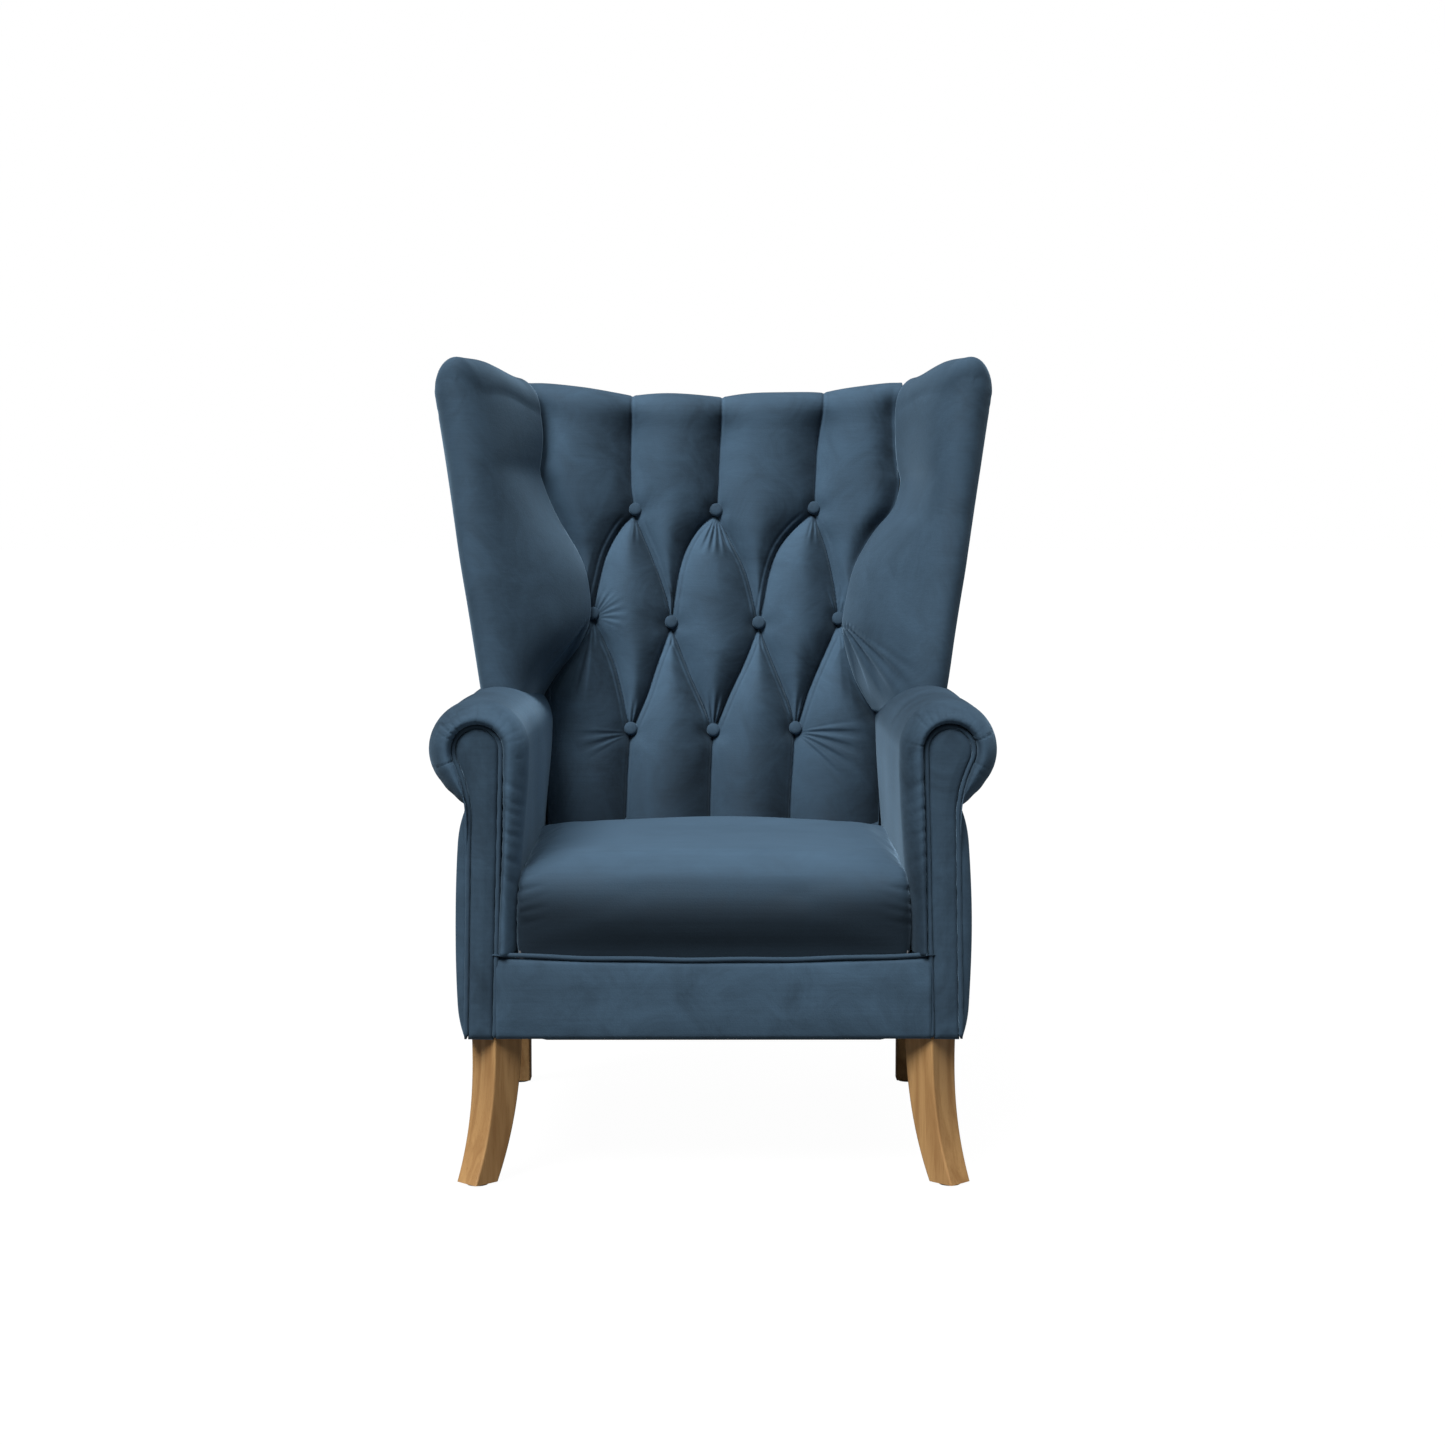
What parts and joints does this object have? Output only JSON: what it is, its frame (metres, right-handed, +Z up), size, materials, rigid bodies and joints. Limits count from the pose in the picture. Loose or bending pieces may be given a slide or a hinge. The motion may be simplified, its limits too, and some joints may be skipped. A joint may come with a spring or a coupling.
{
  "type": "wing armchair",
  "caption": "High-backed wing armchair with a deep-buttoned back, scroll arms, a plump tight seat and four splayed wooden legs.",
  "frame": {"origin": "on the floor, under the middle of the chair's overall box", "axes": "+X to the sitter's left, which is a viewer's right; +Y from the front of the seat to the back; +Z up"},
  "size_m": [0.82, 0.7379, 1.1],
  "materials": {
    "velvet": "short-pile velvet, soft sheen",
    "oak": "satin clear lacquer",
    "frame_wood": "sawn, unfinished",
    "plywood": "sawn, unfinished",
    "steel": "drawn wire and zinc plate",
    "felt": "needled felt",
    "webbing": "woven elastic webbing",
    "twine": "waxed button twine",
    "lining": "non-woven black cloth"
  },
  "bodies": {
    "root": {"arm_facing_left": "velvet", "arm_facing_right": "velvet", "arm_pad_left": "velvet", "arm_pad_right": "velvet", "arm_post_left": "frame_wood", "arm_post_right": "frame_wood", "arm_tack_rail_left": "frame_wood", "arm_tack_rail_right": "frame_wood", "arm_top_rail_left": "frame_wood", "arm_top_rail_right": "frame_wood", "back_button_high_1": "velvet", "back_button_high_2": "velvet", "back_button_high_3": "velvet", "back_button_low_1": "velvet", "back_button_low_2": "velvet", "back_button_low_3": "velvet", "back_button_mid_1": "velvet", "back_button_mid_2": "velvet", "back_button_mid_3": "velvet", "back_button_mid_4": "velvet", "back_pad": "velvet", "back_rail": "frame_wood", "back_upright_left": "frame_wood", "back_upright_right": "frame_wood", "back_webbing": "webbing", "button_twines": "twine", "corner_blocks": "frame_wood", "crest_rail": "frame_wood", "dust_cover": "lining", "facing_piping_left": "velvet", "facing_piping_right": "velvet", "front_border": "velvet", "front_leg_left": "oak", "front_leg_right": "oak", "front_piping": "velvet", "front_rail": "frame_wood", "leg_bolts": "steel", "leg_glides": "felt", "outside_arm_left": "velvet", "outside_arm_right": "velvet", "outside_back": "velvet", "outside_wing_left": "velvet", "outside_wing_right": "velvet", "rear_leg_left": "oak", "rear_leg_right": "oak", "seat_cushion": "velvet", "seat_deck_pad": "felt", "seat_springs": "steel", "side_rail_left": "frame_wood", "side_rail_right": "frame_wood", "spring_clips": "steel", "stay_rail": "frame_wood", "wing_board_left": "plywood", "wing_board_right": "plywood", "wing_pad_left": "velvet", "wing_pad_right": "velvet"}
  },
  "joints": []
}
